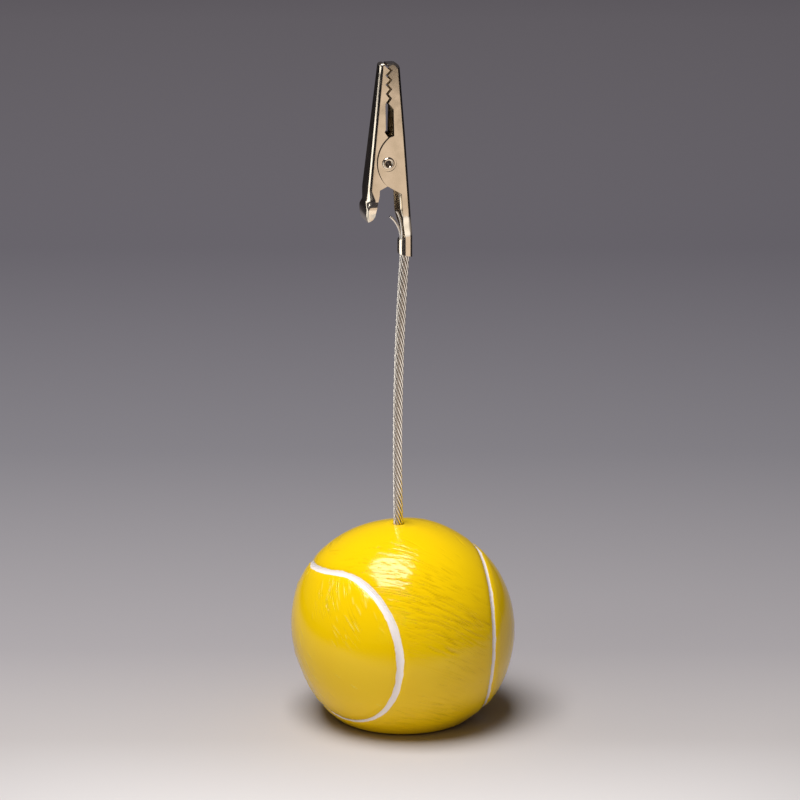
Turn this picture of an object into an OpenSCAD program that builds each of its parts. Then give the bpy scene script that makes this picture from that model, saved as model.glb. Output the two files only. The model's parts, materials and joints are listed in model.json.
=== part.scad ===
// Memo and place-card stand: a cast ball base painted as a tennis ball, a bowed strand of
// steel wires set into its top, and a toothed spring clip crimped on the strand's upper end.
// The origin is the centre of the flat underside, +Z is up and the clip's pivot runs along Y.
// The nose of the clip points up, and its moving jaw is on the -X side. All sizes are in mm.

/* [Ball base] */
// Diameter of the ball
ball_d = 45; // [42:0.5:50]
// Height of the ball's centre above the flat underside
ball_centre_h = 18; // [16:0.25:19]
// Height taken off the crown to leave a flat land round the hole
crown_cut = 0.2; // [0.1:0.05:0.5]
// Depth of the hole that holds the strand
bore_depth = 20; // [12:1:24]
// Space round the strand in its hole, filled with cement
bore_film = 0.05; // [0.02:0.01:0.2]
// Radius of the broken edge at the mouth of the hole
mouth_r = 1.35; // [1.2:0.05:2]
// Radius that rounds the rim of the flat underside
rim_r = 3; // [1:0.25:5]

/* [Ball seam] */
// Width of the seam groove at the surface
seam_w = 1.7; // [1:0.1:2.4]
// Depth of the seam groove
seam_depth = 0.45; // [0.2:0.05:0.8]
// Direction in plan of the left lobe's axis
left_turn = -150.6; // [-156:0.2:-146]
// Half angle of the circle that the left lobe follows
left_cap = 43.2; // [42:0.2:45]
// Direction in plan of the right lobe's axis
right_turn = -1.6; // [-5:0.2:2]
// Half angle of the circle that the right lobe follows
right_cap = 49.8; // [47:0.2:51]
// Half angle of the circle that joins the lobes behind the crown
crown_cap = 47; // [44:0.5:50]
// Half angle of the circle that joins the lobes behind the foot
foot_cap = 45; // [44:0.5:50]

/* [Wire strand] */
// Diameter over the whole strand
strand_d = 2; // [1.6:0.1:2]
// Length of one full turn of the wires
lay = 13; // [11:0.5:16]
// Bare strand between the ball and the clip
strand_free = 55.2; // [40:0.1:70]
// Radius of the strand's slow bow
bow_r = 590; // [500:10:900]
// Height of the point where the bow runs upright
bow_low_z = 54.5; // [50:0.5:58]
// Sideways place of that point
bow_low_x = -1.12; // [-1.4:0.02:-0.9]
// Gap that keeps neighbouring wires apart
wire_gap = 0.02; // [0.02:0.005:0.03]

/* [Clip] */
// Thickness of the clip's sheet steel
sheet_t = 0.35; // [0.3:0.01:0.36]
// Height of the jaws above the pivot
jaw_up = 19.6; // [19.2:0.1:20]
// Width over the walls at the nose
nose_w = 2.75; // [2.6:0.05:3]
// Growth in width for each millimetre down from the nose
flare = 0.1; // [0.09:0.005:0.11]
// Running gap between an inner ear and an outer ear
ear_gap = 0.1; // [0.08:0.01:0.12]
// Outer radius of the long folds
fold_r = 0.8; // [0.6:0.05:0.9]
// Distance from one tooth to the next
tooth_pitch = 1.83; // [1.75:0.01:1.88]
// Open gap between the two rows of teeth
tooth_gap = 0.3; // [0.2:0.02:0.4]
// Radius of the fixed jaw's ear
ear_r = 6.4; // [6.3:0.05:6.5]
// Height of the fixed jaw's walls below its ears
tail_wall = 1.7; // [1.4:0.1:1.9]
// Outside diameter of the crimp barrel
barrel_d = 2.78; // [2.78:0.02:2.84]
// Length of the crimp barrel along its back
barrel_len = 4.25; // [3.5:0.05:4.5]

/* [Pivot and spring] */
// Radius of the hollow rivet's shank
shank_r = 0.9; // [0.8:0.02:1]
// Radius of the rivet's open centre
eye_r = 0.55; // [0.4:0.05:0.6]
// Radius of the roll on each end of the rivet
roll_r = 0.33; // [0.25:0.01:0.35]
// Running clearance of the moving jaw on the shank
pivot_play = 0.05; // [0.03:0.01:0.08]
// Radius of the coined seat under each roll
seat_r = 1.65; // [1.4:0.05:1.8]
// Diameter of the spring wire
spring_wire_d = 0.45; // [0.35:0.01:0.5]
// Mean radius of the spring's coils
coil_r = 1.45; // [1.4:0.01:1.5]
// Whole turns in the spring
coil_turns = 3; // [2:1:3]

/* [Hidden] */

// Ball: derived sizes
ball_r = ball_d / 2;
ball_top = ball_centre_h + ball_r - crown_cut;
groove_r = (pow(seam_depth, 2) + pow(seam_w / 2, 2)) / (2 * seam_depth);
groove_reach = ball_r + groove_r - seam_depth;
left_axis = direction(left_turn, -0.3);
right_axis = direction(right_turn, -2);
crown_axis = bridge_axis(crown_cap, 1);
foot_axis = bridge_axis(foot_cap, -1);

// Strand: three core wires inside nine outer wires, all of one size
wire_d = strand_d / 4.155;
wire_r = wire_d / 2 - wire_gap / 2;
core_at = 0.54 * wire_d;
outer_at = 1.577 * wire_d;
core_r = 0.93 * wire_r;
strand_low = ball_top - bore_depth + 0.12;
barrel_low = ball_top + strand_free;
barrel_top = barrel_low + barrel_len;
strand_high = barrel_top - 0.65;
outer_rings = 10;
core_rings = 8;
wire_sides = 6;
splay_turn = 180;

// Clip: heights from the pivot, places across from the pivot
neck_low = -15.4;
pivot_z = barrel_top - neck_low;
barrel_at = 4.065;
pivot_x = strand_x(barrel_low) - barrel_at;
back_right = 3.95;
back_right_lean = 0.0577;
back_left = -3.46;
back_left_lean = 0.113;
right_nose_r = 1.3;
left_nose_r = 0.6;
nose_split = -0.05;
tooth_top = 18.25;
tooth_count = 8;
tooth_left = 0.02;
tooth_right = 0.98;
tooth_fade = 0.04;
slot_top = 10.6;
slot_right = 1.27;
slot_left = -0.32;
ear_centre = 4.28;
ear_top = 5.05;
ear_low = -4.5;
ear_end = -6.25;
neck_top = -10.7;
inner_ear_r = 3.1;
inner_ear_low = -4.65;
tab_top = -5.4;
tab_waist = -7.6;
tab_lip = -8.9;
tip_z = -10;
tip_r = 3.85;
tip_turn = 27;
fold_steps = 4;
wall_steps = 4;

// Rivet and spring: derived sizes
seat_y = outer_width(0) / 2 - 0.09;
coil_pitch = spring_wire_d + 0.03;
leg_lean = 16.4;
spring_sides = 8;

function unit(v) = v / norm(v);
function mix(a, b, t) = a + (b - a) * t;
function smooth(t) = t * t * (3 - 2 * t);
function direction(turn, rise) = [cos(rise) * cos(turn), cos(rise) * sin(turn), sin(rise)];

// Axis of the circle of half angle cap that touches both lobes, over the crown or under the foot
function bridge_axis(cap, side) =
    let(c = left_axis * right_axis,
        p = cos(left_cap + cap),
        q = cos(right_cap + cap),
        flat = ((p - c * q) * left_axis + (q - c * p) * right_axis) / (1 - c * c),
        s = cross(left_axis, right_axis))
    flat + side * sqrt((1 - flat * flat) / (s * s)) * s;

// Direction in which two circles on the ball touch
function touch(n, n_cap, m, m_cap) = (sin(m_cap) * n + sin(n_cap) * m) / sin(n_cap + m_cap);

// Sideways place of the strand's centre: upright in the ball and in the barrel, bowed between
function strand_x(z) = bow_low_x + pow(min(max(z, ball_top), barrel_low) - bow_low_z, 2) / (2 * bow_r);

// Centre line of one wire of the strand, from its lower end to the height z_end
function wire_path(radius, start, z_end, rings) =
    let(count = ceil((z_end - strand_low) / lay * rings))
    [for (i = [0 : count])
        let(z = mix(strand_low, z_end, i / count),
            a = start - 360 * (z - z_end) / lay)
        [strand_x(z) + radius * cos(a), radius * sin(a), z]];

// Points on a curve that leaves p, heads for c and ends at q
function curve(p, c, q, steps) =
    [for (i = [1 : steps]) let(t = i / steps) mix(mix(p, c, t), mix(c, q, t), t)];

// Width over the walls of the moving jaw, and of the fixed jaw, which is wider at its ears
function inner_width(z) = nose_w + flare * (jaw_up - z);
function outer_width(z) =
    z < ear_top ? inner_width(z) + 2 * (sheet_t + ear_gap)
                : mix(nose_w, outer_width(ear_top - 0.001), (jaw_up - z) / (jaw_up - ear_top));

// Backs of the jaws: straight, with the moving jaw's easing to upright above its tip
function right_back(z) = back_right - back_right_lean * z;
function left_back(z) =
    let(ease = 2,
        start = tip_z + ease)
    z > start ? back_left + back_left_lean * z
              : back_left + back_left_lean * start
                - back_left_lean * (pow(ease, 2) - pow(max(z - tip_z, 0), 2)) / (2 * ease);

// Thumb tab: a gutter that deepens to its waist, flares to a lip and narrows again to its tip
function tab_width(z) =
    lookup(z, [[tip_z - 1.75, 5.3], [tab_lip, inner_width(tab_lip) + 0.5],
               [tab_waist, inner_width(tab_waist)], [tab_top, inner_width(tab_top)]]);
function tab_fold(z) = lookup(z, [[tab_lip, 0.5], [tab_waist, 1.9], [tab_top, fold_r]]);
function tab_edge(z) = lookup(z, [[tip_z, -2.63], [-6.6, -1.77], [tab_top, -1.7]]);

// Middle of the gap between the teeth at the k-th corner of its zigzag, counted from the nose
function tooth_mid(k) = k % 2 == 0 ? tooth_right - tooth_fade * k : tooth_left;
function tooth_z(k) = tooth_top - k * tooth_pitch / 2;

// A station of a folded sheet: outer back point, end of the straight wall, widths over the
// walls at both, fold radius, and the angle through which the wall curls on beyond its end
function level(z, back, edge, w) = [[back, z], [edge, z], w, w, fold_r, 0];

fixed_nose_centre = [right_back(jaw_up - right_nose_r) - right_nose_r, jaw_up - right_nose_r];
fixed_nose_edge = [nose_split + tooth_gap / 2, jaw_up - 0.45];
fixed_first_tooth = [tooth_mid(0) + tooth_gap / 2, tooth_top];

function fixed_level(z, edge) = level(z, right_back(z), edge, outer_width(z));

// Rows of the crimp barrel: share of its length, drop from its back to its middle, and curl of the
// wings. The wings grow out just below the neck, and their rims slope, so that they are shorter.
barrel_rows = [[0.012, 0.32, 35], [0.024, 0.33, 58], [0.035, 0.32, 80],
               [0.26, 0.1, 80], [0.52, 0, 80], [0.8, -0.15, 80], [1, -0.35, 80]];

fixed_stations = concat(
    [[[nose_split + tooth_gap / 2, jaw_up], fixed_nose_edge, nose_w, nose_w, 0.4, 0]],
    [for (i = [0 : 3])
        [fixed_nose_centre + right_nose_r * [sin(30 * i), cos(30 * i)],
         mix(fixed_nose_edge, fixed_first_tooth, (i + 1) / 4),
         outer_width(jaw_up - i * 0.4), outer_width(mix(jaw_up, tooth_top, (i + 1) / 4)),
         mix(0.5, fold_r, i / 3), 0]],
    [for (k = [1 : tooth_count - 1]) fixed_level(tooth_z(k), tooth_mid(k) + tooth_gap / 2)],
    [for (z = [slot_top, 8.2, ear_top + 0.3]) fixed_level(z, slot_right)],
    [for (a = [asin(ear_top / ear_r) : -9.6 : asin(ear_low / ear_r) + 1])
        fixed_level(ear_r * sin(a), ear_centre - ear_r * cos(a))],
    [for (i = [0 : 3])
        let(z = mix(ear_low, ear_end, i / 3),
            ear_x = ear_centre - ear_r * cos(asin(ear_low / ear_r)))
        fixed_level(z, mix(ear_x, right_back(z) - tail_wall, i / 3))],
    [for (z = [-8.5, neck_top]) fixed_level(z, right_back(z) - tail_wall)],
    [for (i = [1 : 5])
        let(z = mix(neck_top, neck_low, i / 5),
            t = smooth(i / 5),
            back = mix(right_back(neck_top), barrel_at + barrel_d / 2, t),
            w = mix(outer_width(neck_top), barrel_d, t),
            r = mix(fold_r, barrel_d / 2 - 0.04, t))
        [[back, z], [back - mix(tail_wall, barrel_d / 2, t), z], w, w, r, 10 * t]],
    [for (s = barrel_rows)
        let(z = neck_low - s[0] * barrel_len)
        [[barrel_at + barrel_d / 2, z], [barrel_at - 0.04, z - s[1]], barrel_d, barrel_d,
         barrel_d / 2 - 0.04, s[2]]]);

moving_nose_centre = [left_back(jaw_up - left_nose_r) + left_nose_r, jaw_up - left_nose_r];
moving_nose_edge = [nose_split - tooth_gap / 2, jaw_up - 0.4];
moving_first_tooth = [tooth_mid(0) - tooth_gap / 2, tooth_top];
tip_centre = [left_back(tip_z) + tip_r, tip_z];
tip_steps = 6;

function moving_level(z, edge) = level(z, left_back(z), edge, inner_width(z));

moving_stations = concat(
    [[[nose_split - tooth_gap / 2, jaw_up], moving_nose_edge, nose_w, nose_w, 0.35, 0]],
    [for (i = [0 : 2])
        [moving_nose_centre + left_nose_r * [-sin(45 * i), cos(45 * i)],
         mix(moving_nose_edge, moving_first_tooth, (i + 1) / 3),
         inner_width(jaw_up - i * 0.3), inner_width(mix(jaw_up, tooth_top, (i + 1) / 3)),
         mix(0.5, fold_r, i / 2), 0]],
    [for (k = [1 : tooth_count - 1]) moving_level(tooth_z(k), tooth_mid(k) - tooth_gap / 2)],
    [for (z = [slot_top + 0.7, 8.2, 6.6]) moving_level(z, slot_left)],
    [moving_level(6.1, slot_left - 0.26),
     moving_level(4.95, slot_left + 0.55)],
    [for (a = [64 : -16 : -64]) moving_level(inner_ear_r * sin(a), inner_ear_r * cos(a))],
    [for (i = [0 : 2])
        moving_level(mix(inner_ear_low, tab_top, i / 2), mix(-0.1, -1.7, i / 2))],
    [for (z = [-6, -6.6, -7.1, tab_waist, mix(tab_waist, tab_lip, 0.5), tab_lip, -9.5])
        [[left_back(z), z], [tab_edge(z), z], tab_width(z), tab_width(z), tab_fold(z), 0]],
    [for (i = [0 : tip_steps])
        let(t = sin(90 * i / tip_steps),
            a = 180 + tip_turn * t,
            depth = 0.7 + 1.15 * sqrt(1 - pow(t, 2.5)),
            w = tab_width(tip_z + tip_r * sin(a)))
        [tip_centre + tip_r * [cos(a), sin(a)],
         tip_centre + (tip_r - depth) * [cos(a), sin(a)],
         w, w, 0.5, 0]]);

// Half of a folded section, as [distance from the back, half width], for one face of the sheet:
// face 0 is the outside and face sheet_t the inside. It runs from the wall's free end to the back.
function half_section(s, face) =
    let(depth = norm(s[1] - s[0]),
        r = s[4],
        curl_r = s[3] / 2 - 0.02,
        run = depth - r + curl_r * s[5] * PI / 180)
    concat(
        [for (k = [wall_steps : -1 : 1])
            let(u = run * k / wall_steps,
                past = max(u - (depth - r), 0),
                a = past / curl_r * 180 / PI)
            past > 0 ? [depth + (curl_r - face) * sin(a), s[3] / 2 - curl_r + (curl_r - face) * cos(a)]
                     : [r + u, mix(s[2], s[3], (r + u) / depth) / 2 - face]],
        [for (k = [0 : fold_steps])
            let(a = 90 * k / fold_steps)
            [r - (r - face) * sin(a), mix(s[2], s[3], r / depth) / 2 - r + (r - face) * cos(a)]]);

// The whole section at a station as points in space, from the near free end to the far one
function section_points(s, face) =
    let(half = half_section(s, face),
        last = len(half) - 1,
        inward = unit(s[1] - s[0]),
        all = concat([for (k = [0 : last]) [half[k][0], -half[k][1]]],
                     [for (k = [last : -1 : 0]) half[k]]))
    [for (p = all)
        [s[0][0] + p[0] * inward[0], p[1], s[0][1] + p[0] * inward[1]]];

// Sheet folded into a channel whose section changes from station to station
module folded_sheet(stations) {
    rows = len(stations);
    cols = 2 * (wall_steps + fold_steps + 1);
    points = concat([for (s = stations) each section_points(s, 0)],
                    [for (s = stations) each section_points(s, sheet_t)]);
    inner = rows * cols;
    skin = [for (i = [0 : rows - 2], j = [0 : cols - 2])
        let(a = i * cols + j)
        each [[a, a + 1, a + cols], [a + 1, a + cols + 1, a + cols],
              [inner + a, inner + a + cols, inner + a + 1],
              [inner + a + 1, inner + a + cols, inner + a + cols + 1]]];
    sides = [for (i = [0 : rows - 2])
        let(a = i * cols,
            b = a + cols - 1)
        each [[a, a + cols, inner + a], [inner + a, a + cols, inner + a + cols],
              [b, inner + b, b + cols], [inner + b, inner + b + cols, b + cols]]];
    ends = [for (j = [0 : cols - 2])
        let(a = j,
            b = (rows - 1) * cols + j)
        each [[a, inner + a, a + 1], [inner + a, inner + a + 1, a + 1],
              [b, b + 1, inner + b], [inner + b, b + 1, inner + b + 1]]];
    polyhedron(points, concat(skin, sides, ends));
}

// Round wire along a path whose direction never comes near Y
module round_wire(path, r, sides) {
    last = len(path) - 1;
    points = [for (i = [0 : last])
        let(t = unit(path[min(i + 1, last)] - path[max(i - 1, 0)]),
            n = unit(cross(t, [0, 1, 0])),
            b = cross(t, n))
        for (k = [0 : sides - 1]) path[i] + r * (cos(360 * k / sides) * n + sin(360 * k / sides) * b)];
    walls = [for (i = [0 : last - 1], k = [0 : sides - 1])
        let(a = i * sides + k,
            b = i * sides + (k + 1) % sides)
        each [[a, a + sides, b], [b, a + sides, b + sides]]];
    caps = [[for (k = [0 : sides - 1]) k],
            [for (k = [sides - 1 : -1 : 0]) last * sides + k]];
    polyhedron(points, concat(walls, caps));
}

// One arc of the seam groove: the long way round the circle about axis, from p to q
module seam_arc(axis, cap, p, q) {
    p_side = unit(p - (p * axis) * axis);
    q_side = unit(q - (q * axis) * axis);
    turn = atan2(q_side * cross(axis, p_side), q_side * p_side);
    from = turn < 0 ? p_side : q_side;
    up = cross(axis, from);
    multmatrix([[from[0], up[0], axis[0], 0],
                [from[1], up[1], axis[1], 0],
                [from[2], up[2], axis[2], 0],
                [0, 0, 0, 1]])
        translate([0, 0, groove_reach * cos(cap)])
            rotate_extrude(angle = 360 - abs(turn), $fn = 120)
                translate([groove_reach * sin(cap), 0])
                    circle(r = groove_r, $fn = 24);
}

module seam_groove() {
    crown_left = touch(crown_axis, crown_cap, left_axis, left_cap);
    crown_right = touch(crown_axis, crown_cap, right_axis, right_cap);
    foot_left = touch(foot_axis, foot_cap, left_axis, left_cap);
    foot_right = touch(foot_axis, foot_cap, right_axis, right_cap);
    seam_arc(left_axis, left_cap, crown_left, foot_left);
    seam_arc(right_axis, right_cap, crown_right, foot_right);
    seam_arc(crown_axis, crown_cap, crown_left, crown_right);
    seam_arc(foot_axis, foot_cap, foot_left, foot_right);
}

// Ring that is cut away to round the rim of the underside into the ball
module rim_round() {
    centre = [sqrt(pow(ball_r - rim_r, 2) - pow(ball_centre_h - rim_r, 2)), rim_r];
    outward = unit(centre - [0, ball_centre_h]);
    rotate_extrude($fn = 144)
        difference() {
            polygon([centre, [centre[0], -1], [centre[0] + 2 * rim_r, -1], centre + 1.3 * rim_r * outward]);
            translate(centre) circle(r = rim_r, $fn = 96);
        }
}

module ball_base() {
    hole_r = strand_d / 2 + bore_film;
    color("#f2c800")
    difference() {
        translate([0, 0, ball_centre_h]) sphere(r = ball_r, $fn = 144);
        translate([-ball_r, -ball_r, -ball_r]) cube([ball_d, ball_d, ball_r]);
        translate([-ball_r, -ball_r, ball_top]) cube([ball_d, ball_d, ball_r]);
        rim_round();
        translate([0, 0, ball_centre_h]) seam_groove();
        translate([strand_x(0), 0, ball_top - bore_depth])
            cylinder(r = hole_r, h = bore_depth + 1, $fn = 48);
        translate([strand_x(0), 0, ball_top - (mouth_r - hole_r)])
            cylinder(r1 = hole_r, r2 = mouth_r + 0.5, h = mouth_r - hole_r + 0.5, $fn = 48);
    }
}

// Everything on the clip is drawn about the pivot and moved to its place with this
module at_pivot() {
    translate([pivot_x, 0, pivot_z]) children();
}

// Upright cylinder laid along Y and centred on the pivot
module along_y(r, length) {
    rotate([90, 0, 0]) cylinder(r = r, h = length, center = true, $fn = 48);
}

module fixed_jaw() {
    color("#b9ad9a")
    at_pivot()
    difference() {
        folded_sheet(fixed_stations);
        along_y(shank_r, 10);
        for (side = [-1, 1])
            translate([0, side * (seat_y + 1), 0]) along_y(seat_r, 2);
    }
}

module moving_jaw() {
    color("#c4b9a7")
    at_pivot()
    difference() {
        folded_sheet(moving_stations);
        along_y(shank_r + pivot_play, 10);
    }
}

// Hollow rivet: a tube between the coined seats with a rolled ring on each end
module pivot_rivet() {
    color("#d0c8bb")
    at_pivot()
    rotate([90, 0, 0])
    rotate_extrude($fn = 64) {
        translate([eye_r, -seat_y]) square([shank_r - eye_r, 2 * seat_y]);
        for (side = [-1, 1])
            intersection() {
                translate([shank_r, side * (seat_y + 0.1)]) circle(r = roll_r, $fn = 32);
                translate([eye_r, side > 0 ? seat_y : -seat_y - 1]) square([1, 1]);
            }
    }
}

// Coil round the rivet, with one leg down the back of each jaw's tail
module torsion_spring() {
    turn_from = leg_lean;
    turn_to = 180 - leg_lean + 360 * coil_turns;
    steps = 14 * coil_turns + 6;
    leg = 7.6;
    half_w = coil_pitch * (turn_to - turn_from) / 720;
    coil = [for (i = [0 : steps])
        let(a = mix(turn_from, turn_to, i / steps))
        [coil_r * cos(a), mix(-half_w, half_w, i / steps), coil_r * sin(a)]];
    down_right = [sin(leg_lean), 0, -cos(leg_lean)];
    down_left = [-sin(leg_lean), 0, -cos(leg_lean)];
    color("#8f8a82")
    at_pivot()
    mirror([0, 1, 0])
    round_wire(concat([coil[0] + leg * down_right], coil, [coil[steps] + leg * down_left]),
               spring_wire_d / 2, spring_sides);
}

module core_wire(i) {
    color("#9d978c")
    round_wire(wire_path(core_at, 120 * i, strand_high, core_rings), core_r, wire_sides);
}

// Two of the outer wires run on past the barrel and spring outwards
module outer_wire(i) {
    start = splay_turn + 40 * (i - 1);
    path = wire_path(outer_at, start, strand_high, outer_rings);
    top = path[len(path) - 1];
    tail = i == 1 ? curve(top, [-0.75, -0.1, 102.1], [-2.76, -0.3, 103.8], 6)
         : i == 2 ? curve(top, [-0.35, -0.6, 103.2], [-1.6, -0.8, 105], 6)
         : [];
    color("#aaa499")
    round_wire(concat(path, tail), wire_r, wire_sides);
}

ball_base();
fixed_jaw();
moving_jaw();
pivot_rivet();
torsion_spring();
for (i = [1 : 3]) core_wire(i);
for (i = [1 : 9]) outer_wire(i);
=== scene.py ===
import json
import math

import bpy
import numpy as np
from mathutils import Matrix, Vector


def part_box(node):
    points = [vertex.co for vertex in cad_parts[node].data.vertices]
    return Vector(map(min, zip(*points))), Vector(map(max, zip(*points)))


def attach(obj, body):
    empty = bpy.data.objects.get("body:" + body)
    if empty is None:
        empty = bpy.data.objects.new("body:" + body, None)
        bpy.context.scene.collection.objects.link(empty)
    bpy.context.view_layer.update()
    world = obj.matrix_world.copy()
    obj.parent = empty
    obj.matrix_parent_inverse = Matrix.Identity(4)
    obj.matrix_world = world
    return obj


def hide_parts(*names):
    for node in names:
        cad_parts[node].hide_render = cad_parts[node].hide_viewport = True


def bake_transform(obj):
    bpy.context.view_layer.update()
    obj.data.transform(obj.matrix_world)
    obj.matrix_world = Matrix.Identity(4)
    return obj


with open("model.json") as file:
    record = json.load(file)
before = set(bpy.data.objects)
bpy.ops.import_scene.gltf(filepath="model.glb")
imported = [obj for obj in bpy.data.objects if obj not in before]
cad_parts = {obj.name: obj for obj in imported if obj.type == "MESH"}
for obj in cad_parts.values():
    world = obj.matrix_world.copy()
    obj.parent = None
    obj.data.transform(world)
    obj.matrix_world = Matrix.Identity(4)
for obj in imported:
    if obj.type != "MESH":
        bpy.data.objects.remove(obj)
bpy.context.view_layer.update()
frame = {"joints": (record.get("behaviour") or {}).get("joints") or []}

MM = 0.001


# Camera
# A long lens on a tripod, a metre away, a little to the left of the clip's plane and looking down
# on the stand. The aim is a point on the strand, and the shift centres the stand in the picture.
camera_turn, camera_rise = math.radians(-16.0), math.radians(16.2)
camera_distance = 1.0
aim = np.array([0.0, 0.0, 0.066])
sensor_width = 36.0
mm_per_pixel = 0.1990
picture_width = 800
aim_pixel = (403.0, 399.57)

to_camera = np.array([math.sin(camera_turn) * math.cos(camera_rise),
                      -math.cos(camera_turn) * math.cos(camera_rise),
                      math.sin(camera_rise)])
camera_right = np.array([math.cos(camera_turn), math.sin(camera_turn), 0.0])
camera_up = np.cross(to_camera, camera_right)
camera_data = bpy.data.cameras.new("camera")
camera_data.sensor_width = sensor_width
camera_data.lens = sensor_width * camera_distance / (MM * mm_per_pixel * picture_width)
camera_data.shift_x = (picture_width / 2 - aim_pixel[0]) / picture_width
camera_data.shift_y = (aim_pixel[1] - picture_width / 2) / picture_width
camera = bpy.data.objects.new("camera", camera_data)
camera.location = aim + camera_distance * to_camera
camera.rotation_euler = (math.pi / 2 - camera_rise, 0.0, camera_turn)
bpy.context.scene.collection.objects.link(camera)
bpy.context.scene.camera = camera
bpy.context.scene.view_settings.view_transform = "Standard"


# Studio
# Paper in a dark room, under one square soft box. The paper's colour is a painted pool of light,
# palest under the stand and painted dark beyond an oval. A dim panel in front fills the ball's
# shade, and four lamps that are flagged off the ball and the paper give the metal its bright and
# dark bands.
def linear(colour):
    """An sRGB hex colour as linear red, green, blue and alpha, by the sRGB curve."""
    c = np.array([int(colour[i:i + 2], 16) for i in (1, 3, 5)]) / 255
    return (*np.where(c <= 0.04045, c / 12.92, ((c + 0.055) / 1.055) ** 2.4), 1.0)


def add(tree, kind, settings=None, inputs=None):
    """Adds a shader node with its own settings, and sets or links each named or numbered input."""
    node = tree.nodes.new("ShaderNode" + kind)
    for name, value in (settings or {}).items():
        setattr(node, name, value)
    for name, value in (inputs or {}).items():
        if isinstance(value, bpy.types.NodeSocket):
            tree.links.new(value, node.inputs[name])
        else:
            node.inputs[name].default_value = value
    return node


def new_material(name):
    """An empty material with its output node."""
    material = bpy.data.materials.new(name)
    material.use_nodes = True
    material.node_tree.nodes.clear()
    return material, material.node_tree, add(material.node_tree, "OutputMaterial")


def surface(name, grid, ends="fan", material=None):
    """A mesh over a grid of points in mm, rows by columns, whose columns close into a ring.
    Its end rows are closed by a fan to their middle, or by a strip across a folded section, or
    with ends="ring" the last row joins the first. Faces are turned outwards by the volume's sign."""
    rows, columns = grid.shape[:2]
    points = grid.reshape(-1, 3)
    index = np.arange(rows * columns).reshape(rows, columns)
    beside = np.roll(index, -1, axis=1)
    above, above_beside = np.roll(index, -1, axis=0), np.roll(beside, -1, axis=0)
    used = slice(None) if ends == "ring" else slice(0, -1)
    quads = np.stack([index[used], beside[used], above_beside[used], above[used]], axis=-1)
    quads = quads.reshape(-1, 4)
    fans = np.zeros((0, 3), int)
    if ends == "fan":
        points = np.vstack([points, grid[0].mean(axis=0), grid[-1].mean(axis=0)])
        low, high = np.full(columns, rows * columns), np.full(columns, rows * columns + 1)
        fans = np.vstack([np.stack([low, beside[0], index[0]], axis=-1),
                          np.stack([high, index[-1], beside[-1]], axis=-1)])
    if ends == "strip":
        j = np.arange(columns // 2 - 1)
        pairs = np.stack([j, columns - 1 - j, columns - 2 - j, j + 1], axis=-1)
        quads = np.vstack([quads, index[0][pairs], index[-1][pairs[:, ::-1]]])
    triangles = np.vstack([quads[:, :3], quads[:, [0, 2, 3]], fans])
    a, b, c = (points[triangles[:, k]] for k in range(3))
    if np.einsum("ij,ij->", a, np.cross(b, c)) < 0:
        quads, fans = quads[:, ::-1], fans[:, ::-1]
    mesh = bpy.data.meshes.new(name)
    mesh.from_pydata((points * MM).tolist(), [], quads.tolist() + fans.tolist())
    mesh.shade_smooth()
    mesh.materials.append(material)
    made = bpy.data.objects.new(name, mesh)
    bpy.context.scene.collection.objects.link(made)
    return made


# Matt paper: it takes a soft shadow and mirrors nothing. Its colour is a painted pool of light:
# palest under the stand and greyer behind it, and painted dark beyond an oval, a tone which gives the
# metal its dark bands.
sheet_front, sheet_back = -0.4, 0.68
oval_middle, oval_half_length, oval_half_width = 0.5, 0.85, 0.26
painted_dark_tone = "#3C393D"
# Painted falloff of light along the paper, from the front to the back, as stops.
painted_falloff = ((0.12, painted_dark_tone), (0.22, "#565355"), (0.27, "#888382"), (0.32, "#E2DDDB"), (0.356, "#C2BCBA"),
         (0.407, "#AAA5A7"), (0.54, "#8C898E"), (0.72, "#807C83"), (1.0, "#A09AA0"))
paper, tree, output = new_material("paper_with_painted_falloff")
place = add(tree, "TexCoord")
turned = add(tree, "Mapping", None, {"Vector": place.outputs["Object"],
                                     "Rotation": (0, 0, -math.pi / 2 - camera_turn)})
behind = add(tree, "SeparateXYZ", None, {"Vector": turned.outputs[0]})
along = add(tree, "MapRange", None, {"Value": behind.outputs["X"], "From Min": sheet_front,
                                     "From Max": sheet_back})
sheet = add(tree, "ValToRGB", None, {"Fac": along.outputs[0]})
for _ in painted_falloff[2:]:
    sheet.color_ramp.elements.new(0.5)
for stop, (position, tone) in zip(sheet.color_ramp.elements, painted_falloff):
    stop.position, stop.color = position, linear(tone)
# The painted pool of light ends at an oval, and beyond it the paper fades to the painted dark tone.
oval = add(tree, "Mapping", None, {"Vector": turned.outputs[0],
                                   "Location": (-oval_middle / oval_half_length, 0, 0),
                                   "Scale": (1 / oval_half_length, 1 / oval_half_width, 1)})
reach = add(tree, "VectorMath", {"operation": "LENGTH"}, {0: oval.outputs[0]})
off = add(tree, "MapRange", {"interpolation_type": "SMOOTHSTEP"},
          {"Value": reach.outputs["Value"], "From Min": 0.65, "From Max": 1.0})
shade = add(tree, "MixRGB", None, {"Fac": off.outputs[0], "Color1": sheet.outputs[0],
                                   "Color2": linear(painted_dark_tone)})
matt = add(tree, "BsdfDiffuse", None, {"Color": shade.outputs[0]})
tree.links.new(matt.outputs[0], output.inputs["Surface"])
floor_half = 6.0
floor_mesh = bpy.data.meshes.new("floor")
floor_mesh.from_pydata([(-floor_half, -floor_half, 0), (floor_half, -floor_half, 0),
                        (floor_half, floor_half, 0), (-floor_half, floor_half, 0)], [], [(0, 1, 2, 3)])
floor_mesh.materials.append(paper)
floor = bpy.data.objects.new("floor", floor_mesh)
bpy.context.scene.collection.objects.link(floor)

# The dark room: dim, and the black that the metal mirrors between its bright bands.
world = bpy.data.worlds.new("studio")
bpy.context.scene.world = world
world.use_nodes = True
world.node_tree.nodes.clear()
room = add(world.node_tree, "Background", None, {"Color": linear("#454349"), "Strength": 1.0})
world_output = add(world.node_tree, "OutputWorld")
world.node_tree.links.new(room.outputs[0], world_output.inputs["Surface"])


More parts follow.
